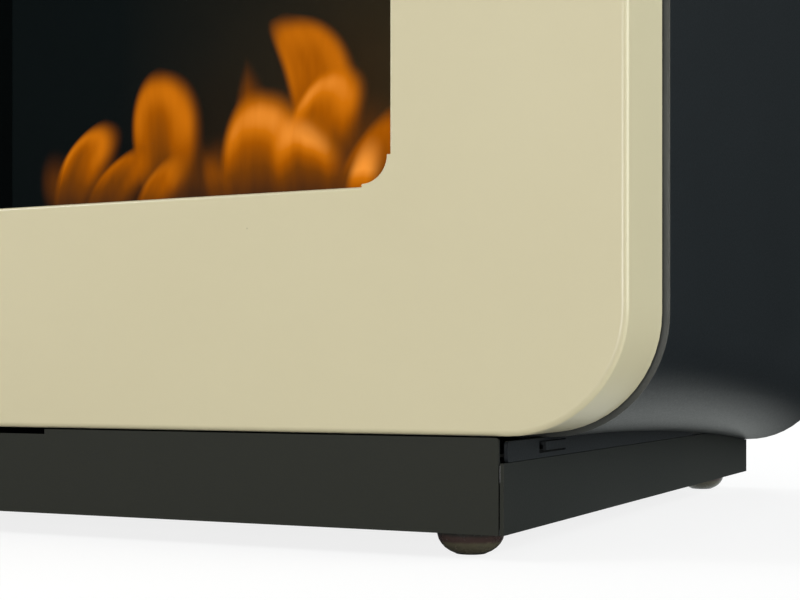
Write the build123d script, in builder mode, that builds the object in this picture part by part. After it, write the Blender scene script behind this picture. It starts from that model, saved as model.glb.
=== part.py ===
from build123d import *
import os
from math import sqrt

os.makedirs("parts", exist_ok=True)

# Free-standing bioethanol fireplace. Millimetres, +Z up, front towards -Y.
# The origin is on the floor, under the middle of the body.

# ---------------------------------------------------------------- overall sizes
frame_width = 500.0
frame_height = 420.0
body_depth = 345.0
plinth_width = 420.0
plinth_front_height = 30.6
foot_height = 8.3

# ---------------------------------------------------------------- front frame
frame_sheet = 1.5
frame_depth = 38.4
frame_corner = 39.5
frame_bend = 2.0
frame_gap = 0.5  # between the plinth's front panel and the frame
band_side = 79.7
band_top = 79.7
band_bottom = 80.8
opening_corner = 9.2
opening_bend = 1.2
corner_step = 0.8  # how far the flat corners stand inside the folded edges
fold_depth = 12.0
relief_width = 0.8

# ---------------------------------------------------------------- casing
casing_sheet = 1.5
casing_proud = 1.7  # how far the casing stands outside the frame, all round
casing_setback = 3.3  # shadow gap between the frame's return and the casing
casing_drop = 12.8  # how much lower its underside is at the rear
casing_lip = 12.0
rear_recess = 3.0  # the rear panel's face inside the rear edge
panel_sheet = 1.5
panel_clearance = 0.4
vent_length = 26.0
vent_width = 4.0
vent_pitch = 34.0
vent_columns = 9
vent_high_rows = 2
vent_row_pitch = 36.0
vent_high_drop = 75.0  # the upper vents' middle below the frame's top
vent_low_rise = 45.0  # the lower vents' middle above the frame's bottom

# ---------------------------------------------------------------- firebox
firebox_sheet = 1.5
firebox_clearance = 0.5  # round the frame's folds
firebox_front_inset = 4.5  # the box's mouth behind the frame's face
firebox_depth = 221.0
hearth_sheet = 2.0
hearth_lip = 10.0
hearth_bend = 1.4
collar_sheet = 1.2
collar_flange = 12.0
collar_corner = 2.0
collar_sleeve = 15.0
shield_width = 300.0
shield_height = 230.0
shield_flange = 12.0
shield_gap = 18.0
shield_sheet = 1.2
deflector_width = 300.0
deflector_height = 22.0
deflector_clearance = 12.8  # behind the collar's sleeve
deflector_margin = 3.0  # in front of the firebox's back wall
exhaust_slot_length = 60.0
exhaust_slot_width = 5.0
exhaust_pitch_across = 78.0
exhaust_pitch_deep = 15.0
exhaust_columns = 4
exhaust_rows = 4

# ---------------------------------------------------------------- support channels and spill tray
channel_width = 20.0
channel_sheet = 1.5
channel_clearance = 12.0  # between the burner's tank and each channel
tray_clearance = 4.2  # under the tank
tray_margin = 9.0  # past the tank, front and rear
tray_height = 12.0
tray_sheet = 1.0

# ---------------------------------------------------------------- burner
slot_length = 220.0
slot_width = 38.0
slot_y = 4.0
slot_corner = 4.0
tank_end_margin = 18.0  # past the slot's ends
tank_height = 52.0
tank_sheet = 1.5
tank_corner = 8.0
tank_clearance = 1.0  # to the hearth's cut-out, each side
top_side_overhang = 12.0  # past the tank's ends
top_deep_overhang = 8.0  # past the tank, front and rear
top_margin = 11.0  # past the parked lid in front and the slot behind
top_sheet = 2.0
top_edge = 1.2
wool_clearance = 1.0
wool_drop = 7.5  # from the tank's rim down to the mesh
mesh_sheet = 1.0
mesh_hole = 11.0
mesh_columns = 8
mesh_rows = 3
mesh_pitch = 26.0

# ---------------------------------------------------------------- regulator lid
lid_overlap = 4.0  # past the slot, front and rear
lid_side_overlap = 7.0
lid_sheet = 1.5
lid_clearance = 0.3
lid_corner = 3.0
lid_park_gap = 2.0  # between the parked lid and the slot
guide_sheet = 1.2
guide_lip = 5.0
eyelet_width = 9.0
eyelet_sheet = 2.0
eyelet_corner = 3.0
eyelet_foot_length = 14.0
eyelet_foot_height = 2.0
eyelet_height = 12.0
eyelet_hole = 4.0
eyelet_hole_height = 7.2

# ---------------------------------------------------------------- plinth, rails and feet
plinth_sheet = 1.2
plinth_joint = 0.5  # seam between the front or rear panel and the side panels
plinth_side_height = 22.6
plinth_flange = 12.0
plinth_corner = 1.2
corner_length = 50.0  # what the bottom flanges leave free for a foot bracket
notch_width = 62.0
notch_height = 1.8
rail_seam = 0.2
rail_front_inset = 3.5
rail_corner = 1.3
rail_tail_height = 1.5
rail_leg_tail = 15.0  # how far the level leg stops short of the upright's end
hook_slot_start = 32.5  # behind the front face
hook_slot_length = 26.5
hook_slot_bottom = 1.6
hook_slot_height = 4.0
hook_length = 21.0
hook_sheet = 1.2
hook_reach = 8.5
hook_lip_height = 2.9
bracket_length = 46.0
bracket_sheet = 2.0
bracket_clearance = 2.6  # under the casing
bracket_tab_length = 36.0
foot_diameter = 23.0
foot_waist_diameter = 21.6
foot_waist_height = 4.8
foot_toe_diameter = 17.4
foot_toe_height = 2.0
foot_flat_diameter = 10.8
foot_inset = 19.0
foot_stem_width = 6.0
foot_stem_length = 9.0
foot_stem_clearance = 0.1

# ---------------------------------------------------------------- frame brackets
frame_bracket_sheet = 1.5
frame_bracket_start = 6.0  # behind the front face
frame_bracket_height = 30.0
frame_bracket_foot = 17.0
frame_bracket_spacing = 230.0

# ---------------------------------------------------------------- screws
screw_diameter = 4.0
screw_hole = 4.4
screw_slot = 6.4  # length of the adjusting slots under the screw heads
screw_head_diameter = 8.0
screw_head_height = 2.4
screw_length = 8.0

# ---------------------------------------------------------------- places worked out from the sizes
front_y = -body_depth / 2
rear_y = body_depth / 2
frame_bottom = foot_height + plinth_front_height + frame_gap
frame_top = frame_bottom + frame_height
frame_middle = frame_bottom + frame_height / 2
frame_back_y = front_y + frame_depth
opening_width = frame_width - 2 * band_side
opening_height = frame_height - band_top - band_bottom
opening_bottom = frame_bottom + band_bottom
opening_top = frame_top - band_top
opening_middle = (opening_bottom + opening_top) / 2

casing_front_y = frame_back_y + casing_setback
casing_width = frame_width + 2 * casing_proud
casing_bottom = frame_bottom - casing_proud
casing_top = frame_top + casing_proud
casing_corner = frame_corner + casing_proud
casing_length = rear_y - casing_front_y
sweep_radius = (casing_length**2 + casing_drop**2) / (2 * casing_drop)
sweep_centre_z = casing_bottom - sweep_radius
bulkhead_y = casing_front_y + casing_sheet
rear_panel_y = rear_y - rear_recess - panel_sheet
rear_lip_y = rear_panel_y - casing_sheet

firebox_front_y = front_y + firebox_front_inset
firebox_back_y = firebox_front_y + firebox_depth
firebox_half = opening_width / 2 + frame_sheet + firebox_clearance
hearth_top = opening_bottom - frame_sheet - firebox_clearance
hearth_bottom = hearth_top - hearth_sheet
ceiling_z = opening_top + frame_sheet + firebox_clearance
firebox_outer_half = firebox_half + firebox_sheet
firebox_outer_top = ceiling_z + firebox_sheet
firebox_middle = (hearth_bottom + firebox_outer_top) / 2
firebox_outer_height = firebox_outer_top - hearth_bottom
collar_y = bulkhead_y + panel_sheet
deflector_start_y = collar_y + collar_sleeve + deflector_clearance
deflector_end_y = firebox_back_y - deflector_margin

lid_length = slot_length + 2 * lid_side_overlap
lid_depth = slot_width + 2 * lid_overlap
lid_y = slot_y - slot_width / 2 - lid_park_gap - lid_depth / 2
top_front_y = lid_y - lid_depth / 2 - top_margin
top_rear_y = slot_y + slot_width / 2 + top_margin
top_depth = top_rear_y - top_front_y
burner_y = (top_front_y + top_rear_y) / 2
tank_length = slot_length + 2 * tank_end_margin
tank_depth = top_depth - 2 * top_deep_overhang
top_length = tank_length + 2 * top_side_overhang
tank_bottom = hearth_top - tank_height
top_plate_top = hearth_top + top_sheet

half_plinth = plinth_width / 2
plinth_front_top = foot_height + plinth_front_height
side_top = foot_height + plinth_side_height
panel_half = half_plinth - plinth_sheet - plinth_joint
foot_x = half_plinth - foot_inset
foot_y = rear_y - foot_inset
sides = ((-1, "left"), (1, "right"))


def depth_plane(y):
    """Upright plane facing the front, across the body at depth y."""
    return Plane.XZ.offset(-y)


def underside(y, lift=0.0):
    """Height of the casing's swept underside at depth y, raised square to it by lift."""
    return sweep_centre_z + sqrt((sweep_radius + lift) ** 2 - (y - casing_front_y) ** 2)


def frame_form(inset):
    """Solid form of the front frame's tray, inset all round from its outside."""
    with BuildPart() as form:
        with BuildSketch(depth_plane(front_y + inset)):
            with Locations((0, frame_middle)):
                RectangleRounded(frame_width - 2 * inset, frame_height - 2 * inset, frame_corner - inset)
        extrude(amount=inset - frame_depth)
    return form.part


def casing_outline(y, inset, mode=Mode.ADD):
    """Rounded outline of the casing's section at depth y, inset all round."""
    low = underside(y) + inset
    high = casing_top - inset
    with Locations((0, (low + high) / 2)):
        RectangleRounded(casing_width - 2 * inset, high - low, casing_corner - inset, mode=mode)


def casing_form(inset, start_y):
    """The casing's solid form from a depth to its rear, inset from its outside."""
    half = casing_width / 2 - inset
    top = casing_top - inset
    middle_y = (casing_front_y + rear_y) / 2
    with BuildPart() as form:
        with BuildSketch(Plane.YZ.offset(-half)):
            with BuildLine():
                start = (casing_front_y, underside(casing_front_y, inset))
                middle = (middle_y, underside(middle_y, inset))
                end = (rear_y, underside(rear_y, inset))
                ThreePointArc(start, middle, end)
                Polyline(end, (rear_y, top), (casing_front_y, top), start)
            make_face()
        extrude(amount=2 * half)
        long_edges = form.faces().filter_by(Axis.X).edges().filter_by(Axis.Z, reverse=True)
        fillet(long_edges, casing_corner - inset)
        with BuildSketch(depth_plane(start_y)):
            with Locations((0, frame_middle)):
                Rectangle(2 * casing_width, 2 * frame_height)
        extrude(amount=start_y - rear_y, mode=Mode.INTERSECT)
    return form.part


def write(piece, name):
    """Label a finished piece and write it under its own name."""
    piece.part.label = name
    export_step(piece.part, f"parts/{name}.step")


# ================================================================ front frame
# One folded sheet: a face with a deep return round the outside and short folds
# along the straight edges of the opening. Between the folds the flat corners
# stand a little way into the opening, with a relief gap beside each fold's end.
corner_reach = opening_corner + corner_step
straight_across = opening_width - 2 * corner_reach
straight_upright = opening_height - 2 * corner_reach
fold_across = straight_across - 2 * relief_width
fold_upright = straight_upright - 2 * relief_width

with BuildPart() as front_frame:
    add(frame_form(0))
    fillet(front_frame.faces().sort_by(Axis.Y)[0].edges(), frame_bend)
    add(frame_form(frame_sheet), mode=Mode.SUBTRACT)
    with BuildSketch(depth_plane(front_y)):
        with Locations((0, opening_middle)):
            RectangleRounded(opening_width - 2 * corner_step, opening_height - 2 * corner_step, opening_corner)
            Rectangle(straight_across, opening_height)
            Rectangle(opening_width, straight_upright)
    extrude(amount=-frame_sheet, mode=Mode.SUBTRACT)
    with BuildSketch(depth_plane(front_y + frame_sheet)):
        with Locations((0, opening_middle)):
            with GridLocations(0, opening_height + frame_sheet, 1, 2):
                Rectangle(fold_across, frame_sheet)
            with GridLocations(opening_width + frame_sheet, 0, 2, 1):
                Rectangle(frame_sheet, fold_upright)
    extrude(amount=frame_sheet - fold_depth)
    rim = front_frame.edges().group_by(Axis.Y)[0].filter_by(GeomType.LINE)
    rim = rim.filter_by_position(Axis.X, -opening_width / 2 - frame_sheet, opening_width / 2 + frame_sheet)
    rim = rim.filter_by_position(Axis.Z, opening_bottom - frame_sheet, opening_top + frame_sheet)
    fillet(rim.sort_by(SortBy.LENGTH)[-4:], opening_bend)
write(front_frame, "front_frame")

# ================================================================ frame brackets
# Angles welded inside the return, screwed to the casing's front lip.
bracket_outer = frame_width / 2 - frame_sheet
bracket_inner = bracket_outer - frame_bracket_foot
bracket_start_y = front_y + frame_bracket_start
frame_screw_x = (bracket_inner + bracket_outer - frame_bracket_sheet) / 2

with BuildPart() as frame_brackets:
    for level in (-1, 1):
        base = frame_middle + level * frame_bracket_spacing / 2 - frame_bracket_height / 2
        with BuildSketch(Plane.XY.offset(base)):
            with BuildLine():
                Polyline(
                    (bracket_outer, bracket_start_y),
                    (bracket_outer, casing_front_y),
                    (bracket_inner, casing_front_y),
                    (bracket_inner, casing_front_y - frame_bracket_sheet),
                    (bracket_outer - frame_bracket_sheet, casing_front_y - frame_bracket_sheet),
                    (bracket_outer - frame_bracket_sheet, bracket_start_y),
                    close=True,
                )
            make_face()
        extrude(amount=frame_bracket_height)
    with BuildSketch(depth_plane(casing_front_y)):
        with Locations((frame_screw_x, frame_middle)):
            with GridLocations(0, frame_bracket_spacing, 1, 2):
                Rectangle(screw_hole, screw_slot)
    extrude(amount=frame_bracket_sheet, mode=Mode.SUBTRACT)
    mirror(about=Plane.YZ)
write(frame_brackets, "frame_brackets")

with BuildPart() as frame_screws:
    with BuildSketch(depth_plane(casing_front_y - frame_bracket_sheet)):
        with Locations((0, frame_middle)):
            with GridLocations(2 * frame_screw_x, frame_bracket_spacing, 2, 2):
                RegularPolygon(screw_head_diameter / 2, 6)
    extrude(amount=screw_head_height)
    with BuildSketch(depth_plane(casing_front_y - frame_bracket_sheet)):
        with Locations((0, frame_middle)):
            with GridLocations(2 * frame_screw_x, frame_bracket_spacing, 2, 2):
                Circle(screw_diameter / 2)
    extrude(amount=-screw_length)
write(frame_screws, "frame_screws")

# ================================================================ casing
# A wrapped sheet with large rounded corners. Its top is level, its underside
# sweeps down towards the rear, and both ends have an inward lip.
rear_screw_low = underside(rear_panel_y) + casing_sheet + casing_lip / 2
rear_screw_high = casing_top - casing_sheet - casing_lip / 2
rear_screw_upright = rear_screw_high - rear_screw_low
rear_screw_middle = (rear_screw_high + rear_screw_low) / 2
rear_screw_row = casing_width - 2 * casing_corner - 2 * casing_lip


def rear_screw_circles(radius, mode=Mode.ADD):
    """Circles on the rear lip, two on its top edge and two on its bottom edge."""
    with Locations((0, rear_screw_middle)):
        with GridLocations(rear_screw_row, rear_screw_upright, 2, 2):
            Circle(radius, mode=mode)


lip_inset = casing_sheet + casing_lip
with BuildPart() as casing_shell:
    add(casing_form(0, casing_front_y))
    add(casing_form(casing_sheet, bulkhead_y), mode=Mode.SUBTRACT)
    with BuildSketch(depth_plane(casing_front_y)):
        casing_outline(casing_front_y, lip_inset)
        with Locations((0, frame_middle)):
            with GridLocations(2 * frame_screw_x, frame_bracket_spacing, 2, 2):
                Circle(screw_hole / 2)
    extrude(amount=-casing_sheet, mode=Mode.SUBTRACT)
    with BuildSketch(depth_plane(rear_lip_y)):
        casing_outline(rear_panel_y, casing_sheet)
        casing_outline(rear_panel_y, lip_inset, Mode.SUBTRACT)
        rear_screw_circles(screw_hole / 2, Mode.SUBTRACT)
    extrude(amount=-casing_sheet)
write(casing_shell, "casing_shell")

# ================================================================ bulkhead
# Flat plate behind the casing's front lip. The firebox passes through it.
mouth_width = 2 * (firebox_outer_half + panel_clearance)
mouth_height = firebox_outer_height + 2 * panel_clearance
with BuildPart() as front_bulkhead:
    with BuildSketch(depth_plane(bulkhead_y)):
        casing_outline(bulkhead_y, casing_sheet + panel_clearance)
        with Locations((0, firebox_middle)):
            Rectangle(mouth_width, mouth_height, mode=Mode.SUBTRACT)
        with Locations((0, frame_middle)):
            with GridLocations(2 * frame_screw_x, frame_bracket_spacing, 2, 2):
                Rectangle(screw_hole, screw_slot, mode=Mode.SUBTRACT)
    extrude(amount=-panel_sheet)
write(front_bulkhead, "front_bulkhead")

# ================================================================ rear panel
vent_high_z = frame_top - vent_high_drop
vent_low_z = frame_bottom + vent_low_rise

with BuildPart() as rear_panel:
    with BuildSketch(depth_plane(rear_panel_y)):
        casing_outline(rear_panel_y, casing_sheet + panel_clearance)
        with Locations((0, vent_high_z)):
            with GridLocations(vent_pitch, vent_row_pitch, vent_columns, vent_high_rows):
                Rectangle(vent_width, vent_length, mode=Mode.SUBTRACT)
        with Locations((0, vent_low_z)):
            with GridLocations(vent_pitch, 0, vent_columns, 1):
                Rectangle(vent_width, vent_length, mode=Mode.SUBTRACT)
        with Locations((0, rear_screw_middle)):
            with GridLocations(rear_screw_row, rear_screw_upright, 2, 2):
                Rectangle(screw_slot, screw_hole, mode=Mode.SUBTRACT)
    extrude(amount=-panel_sheet)
write(rear_panel, "rear_panel")

with BuildPart() as rear_panel_screws:
    with BuildSketch(depth_plane(rear_panel_y + panel_sheet)):
        with Locations((0, rear_screw_middle)):
            with GridLocations(rear_screw_row, rear_screw_upright, 2, 2):
                RegularPolygon(screw_head_diameter / 2, 6)
    extrude(amount=-screw_head_height)
    with BuildSketch(depth_plane(rear_panel_y + panel_sheet)):
        rear_screw_circles(screw_diameter / 2)
    extrude(amount=screw_length)
write(rear_panel_screws, "rear_panel_screws")

# ================================================================ firebox
# The side walls stand against the hearth plate's edges, the top closes over
# them, and the back wall covers the rear edges of all three.
for side, side_name in sides:
    with BuildPart() as firebox_side:
        start_x = firebox_half if side > 0 else -firebox_outer_half
        with BuildSketch(Plane.YZ.offset(start_x)):
            with Locations(((firebox_front_y + firebox_back_y) / 2, (hearth_bottom + ceiling_z) / 2)):
                Rectangle(firebox_depth, ceiling_z - hearth_bottom)
        extrude(amount=firebox_sheet)
    write(firebox_side, f"firebox_side_{side_name}")

with BuildPart() as firebox_back:
    with BuildSketch(depth_plane(firebox_back_y)):
        with Locations((0, firebox_middle)):
            Rectangle(2 * firebox_outer_half, firebox_outer_height)
    extrude(amount=-firebox_sheet)
write(firebox_back, "firebox_back")

with BuildPart() as firebox_top:
    with BuildSketch(Plane.XY.offset(ceiling_z)):
        with Locations((0, (firebox_front_y + firebox_back_y) / 2)):
            Rectangle(2 * firebox_outer_half, firebox_depth)
        with Locations((0, slot_y)):
            with GridLocations(exhaust_pitch_across, exhaust_pitch_deep, exhaust_columns, exhaust_rows):
                Rectangle(exhaust_slot_length, exhaust_slot_width, mode=Mode.SUBTRACT)
    extrude(amount=firebox_sheet)
write(firebox_top, "firebox_top")

with BuildPart() as hearth_plate:
    with BuildSketch(Plane.XY.offset(hearth_bottom)):
        with Locations((0, (firebox_front_y + firebox_back_y) / 2)):
            Rectangle(2 * firebox_half, firebox_depth)
        with Locations((0, burner_y)):
            RectangleRounded(
                tank_length + 2 * tank_clearance,
                tank_depth + 2 * tank_clearance,
                tank_corner + tank_clearance,
                mode=Mode.SUBTRACT,
            )
    extrude(amount=hearth_sheet)
    with BuildSketch(Plane.XY.offset(hearth_bottom)):
        with Locations((0, firebox_front_y + hearth_sheet / 2)):
            Rectangle(2 * firebox_half, hearth_sheet)
    extrude(amount=-hearth_lip)
    fillet(hearth_plate.edges().filter_by(Axis.X).group_by(Axis.Y)[0].sort_by(Axis.Z)[-1], hearth_bend)
write(hearth_plate, "hearth_plate")

# An angle frame holds the firebox in the bulkhead's cut-out.
collar_width = 2 * (firebox_outer_half + collar_flange)
collar_height = firebox_outer_height + 2 * collar_flange
with BuildPart() as firebox_collar:
    with BuildSketch(depth_plane(collar_y)):
        with Locations((0, firebox_middle)):
            RectangleRounded(collar_width, collar_height, collar_corner)
            Rectangle(2 * firebox_outer_half, firebox_outer_height, mode=Mode.SUBTRACT)
    extrude(amount=-collar_sheet)
    with BuildSketch(depth_plane(collar_y)):
        with Locations((0, firebox_middle)):
            Rectangle(2 * (firebox_outer_half + collar_sheet), firebox_outer_height + 2 * collar_sheet)
            Rectangle(2 * firebox_outer_half, firebox_outer_height, mode=Mode.SUBTRACT)
    extrude(amount=-collar_sleeve)
write(firebox_collar, "firebox_collar")

# ================================================================ heat shields
# The rear shield is a shallow channel, open above and below for the draught.
# Its sides stand on the firebox's back wall and turn out as weld flanges.
shield_start_y = firebox_back_y + firebox_sheet
shield_end_y = shield_start_y + shield_gap + shield_sheet

with BuildPart() as heat_shield:
    with BuildSketch(Plane.XY.offset(firebox_middle - shield_height / 2)):
        with BuildLine():
            side_x = shield_width / 2
            flange_x = side_x + shield_flange
            Polyline(
                (-flange_x, shield_start_y),
                (shield_sheet - side_x, shield_start_y),
                (shield_sheet - side_x, shield_end_y - shield_sheet),
                (side_x - shield_sheet, shield_end_y - shield_sheet),
                (side_x - shield_sheet, shield_start_y),
                (flange_x, shield_start_y),
                (flange_x, shield_start_y + shield_sheet),
                (side_x, shield_start_y + shield_sheet),
                (side_x, shield_end_y),
                (-side_x, shield_end_y),
                (-side_x, shield_start_y + shield_sheet),
                (-flange_x, shield_start_y + shield_sheet),
                close=True,
            )
        make_face()
    extrude(amount=shield_height)
write(heat_shield, "heat_shield")

# A low bridge over the exhaust slots keeps the heat off the casing's top.
with BuildPart() as top_deflector:
    with BuildSketch(depth_plane(deflector_start_y)):
        with BuildLine():
            half = deflector_width / 2
            roof = firebox_outer_top + deflector_height
            Polyline(
                (-half, firebox_outer_top),
                (-half, roof),
                (half, roof),
                (half, firebox_outer_top),
                (half - shield_sheet, firebox_outer_top),
                (half - shield_sheet, roof - shield_sheet),
                (shield_sheet - half, roof - shield_sheet),
                (shield_sheet - half, firebox_outer_top),
                close=True,
            )
        make_face()
    extrude(amount=deflector_start_y - deflector_end_y)
    corners = top_deflector.edges().filter_by(Axis.Y).group_by(Axis.Z)[-1]
    fillet(corners, 2 * shield_sheet)
write(top_deflector, "top_deflector")

# ================================================================ support channels
# Two channels run from the collar to the rear panel and carry the hearth and the tray.
channel_spacing = tank_length + 2 * (channel_clearance + channel_width)
channel_start_y = collar_y + collar_sleeve
channel_top = hearth_bottom
tray_bottom = tank_bottom - tray_clearance - tray_sheet
channel_bottom = tray_bottom - channel_sheet

for side, side_name in sides:
    with BuildPart() as support_channel:
        with BuildSketch(depth_plane(channel_start_y)):
            web_x = side * channel_spacing / 2
            edge_x = side * (channel_spacing / 2 - channel_width)
            inner_web_x = side * (channel_spacing / 2 - channel_sheet)
            with BuildLine():
                Polyline(
                    (edge_x, channel_top),
                    (web_x, channel_top),
                    (web_x, channel_bottom),
                    (edge_x, channel_bottom),
                    (edge_x, channel_bottom + channel_sheet),
                    (inner_web_x, channel_bottom + channel_sheet),
                    (inner_web_x, channel_top - channel_sheet),
                    (edge_x, channel_top - channel_sheet),
                    close=True,
                )
            make_face()
        extrude(amount=channel_start_y - rear_panel_y)
    write(support_channel, f"support_channel_{side_name}")

tray_width = channel_spacing - 2 * channel_sheet - 2 * tray_sheet
with BuildPart() as spill_tray:
    with BuildSketch(Plane.XY.offset(tray_bottom)):
        with Locations((0, burner_y)):
            Rectangle(tray_width, tank_depth + 2 * tray_margin)
    extrude(amount=tray_height)
    offset(amount=-tray_sheet, openings=spill_tray.faces().sort_by(Axis.Z)[-1])
write(spill_tray, "spill_tray")

# ================================================================ burner
with BuildPart() as burner_tank:
    with BuildSketch(Plane.XY.offset(tank_bottom)):
        with Locations((0, burner_y)):
            RectangleRounded(tank_length, tank_depth, tank_corner)
    extrude(amount=tank_height)
    offset(amount=-tank_sheet, openings=burner_tank.faces().sort_by(Axis.Z)[-1])
write(burner_tank, "burner_tank")

with BuildPart() as burner_top_plate:
    with BuildSketch(Plane.XY.offset(hearth_top)):
        with Locations((0, burner_y)):
            RectangleRounded(top_length, top_depth, tank_corner)
        with Locations((0, slot_y)):
            RectangleRounded(slot_length, slot_width, slot_corner, mode=Mode.SUBTRACT)
    extrude(amount=top_sheet)
    chamfer(burner_top_plate.faces().sort_by(Axis.Z)[-1].outer_wire().edges(), top_edge)
write(burner_top_plate, "burner_top_plate")

wool_bottom = tank_bottom + tank_sheet
wool_height = tank_height - tank_sheet - mesh_sheet - wool_drop
wool_length = tank_length - 2 * tank_sheet - 2 * wool_clearance
wool_depth = tank_depth - 2 * tank_sheet - 2 * wool_clearance
with BuildPart() as ceramic_wool:
    with BuildSketch(Plane.XY.offset(wool_bottom)):
        with Locations((0, burner_y)):
            RectangleRounded(wool_length, wool_depth, tank_corner - tank_sheet)
    extrude(amount=wool_height)
write(ceramic_wool, "ceramic_wool")

mesh_bottom = wool_bottom + wool_height
with BuildPart() as wool_mesh:
    with BuildSketch(Plane.XY.offset(mesh_bottom)):
        with Locations((0, burner_y)):
            RectangleRounded(wool_length, wool_depth, tank_corner - tank_sheet)
            with GridLocations(mesh_pitch, mesh_pitch, mesh_columns, mesh_rows):
                Rectangle(mesh_hole, mesh_hole, mode=Mode.SUBTRACT)
    extrude(amount=mesh_sheet)
write(wool_mesh, "wool_mesh")

# ================================================================ regulator lid
# The lid lies in front of the slot while the fire burns and slides back over
# it, between two lipped guides, to turn the flames down or put them out.
lid_bottom = top_plate_top + lid_clearance
lid_top = lid_bottom + lid_sheet
guide_half = lid_length / 2 + lid_clearance
guide_start_y = burner_y - top_depth / 2 + lid_corner
guide_end_y = burner_y + top_depth / 2 - lid_corner

with BuildPart() as lid_guides:
    with BuildSketch(depth_plane(guide_start_y)):
        with BuildLine():
            Polyline(
                (guide_half, top_plate_top),
                (guide_half, lid_top + lid_clearance),
                (guide_half - guide_lip, lid_top + lid_clearance),
                (guide_half - guide_lip, lid_top + lid_clearance + guide_sheet),
                (guide_half + guide_sheet, lid_top + lid_clearance + guide_sheet),
                (guide_half + guide_sheet, top_plate_top),
                close=True,
            )
        make_face()
    extrude(amount=guide_start_y - guide_end_y)
    mirror(about=Plane.YZ)
write(lid_guides, "lid_guides")

with BuildPart() as regulator_lid:
    with BuildSketch(Plane.XY.offset(lid_bottom)):
        with Locations((0, lid_y)):
            RectangleRounded(lid_length, lid_depth, lid_corner)
    extrude(amount=lid_sheet)
write(regulator_lid, "regulator_lid")

# A low foot with an upright lug. A hooked tool goes through its hole.
eyelet_top = lid_top + eyelet_height
with BuildPart() as lid_eyelet:
    with BuildSketch(Plane.XY.offset(lid_top)):
        with Locations((0, lid_y)):
            Rectangle(eyelet_foot_length, eyelet_width)
    extrude(amount=eyelet_foot_height)
    with BuildSketch(Plane.YZ.offset(-eyelet_sheet / 2)) as lug:
        with Locations((lid_y, (lid_top + eyelet_foot_height + eyelet_top) / 2)):
            Rectangle(eyelet_width, eyelet_top - lid_top - eyelet_foot_height)
        fillet(lug.vertices().group_by(Axis.Y)[-1], eyelet_corner)
        with Locations((lid_y, lid_top + eyelet_hole_height)):
            Circle(eyelet_hole / 2, mode=Mode.SUBTRACT)
    extrude(amount=eyelet_sheet)
write(lid_eyelet, "lid_eyelet")

# ================================================================ plinth
# Front panel between the side panels, with a finger notch in its top edge.
flange_half = half_plinth - corner_length - plinth_sheet

with BuildPart() as plinth_front:
    with BuildSketch(depth_plane(front_y)) as face:
        with Locations((0, foot_height + plinth_front_height / 2)):
            Rectangle(2 * panel_half, plinth_front_height)
        fillet(face.vertices().group_by(Axis.Y)[-1], plinth_corner)
        with Locations((0, plinth_front_top)):
            Rectangle(notch_width, 2 * notch_height, mode=Mode.SUBTRACT)
    extrude(amount=-plinth_sheet)
    with BuildSketch(Plane.XY.offset(foot_height)):
        with Locations((0, front_y + (plinth_sheet + plinth_flange) / 2)):
            Rectangle(2 * flange_half, plinth_flange + plinth_sheet)
    extrude(amount=plinth_sheet)
write(plinth_front, "plinth_front")

rear_plinth_top = underside(rear_y) - rail_seam
with BuildPart() as plinth_rear:
    with BuildSketch(depth_plane(rear_y)):
        with Locations((0, (foot_height + rear_plinth_top) / 2)):
            Rectangle(2 * panel_half, rear_plinth_top - foot_height)
    extrude(amount=plinth_sheet)
    with BuildSketch(Plane.XY.offset(foot_height)):
        with Locations((0, rear_y - (plinth_sheet + plinth_flange) / 2)):
            Rectangle(2 * flange_half, plinth_flange + plinth_sheet)
    extrude(amount=plinth_sheet)
write(plinth_rear, "plinth_rear")

# The side panels' top edge is level where the rails stand on it, and follows
# the casing's underside behind them.
side_bend_y = casing_front_y + sqrt(sweep_radius**2 - (side_top + rail_seam - sweep_centre_z) ** 2)
side_tail_y = (side_bend_y + rear_y) / 2
rail_bottom = side_top + rail_seam
rail_end_y = casing_front_y + sqrt(sweep_radius**2 - (rail_bottom + rail_tail_height - sweep_centre_z) ** 2)
rail_front_y = front_y + rail_front_inset
rail_leg_end_y = rail_end_y - rail_leg_tail
leg_middle_x = half_plinth - plinth_sheet - plinth_flange / 2
hook_slot_y = front_y + hook_slot_start
hook_slot_z = rail_bottom + hook_slot_bottom
flange_front_y = front_y + corner_length
upper_flange_start_y = rail_front_y + plinth_flange

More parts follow.
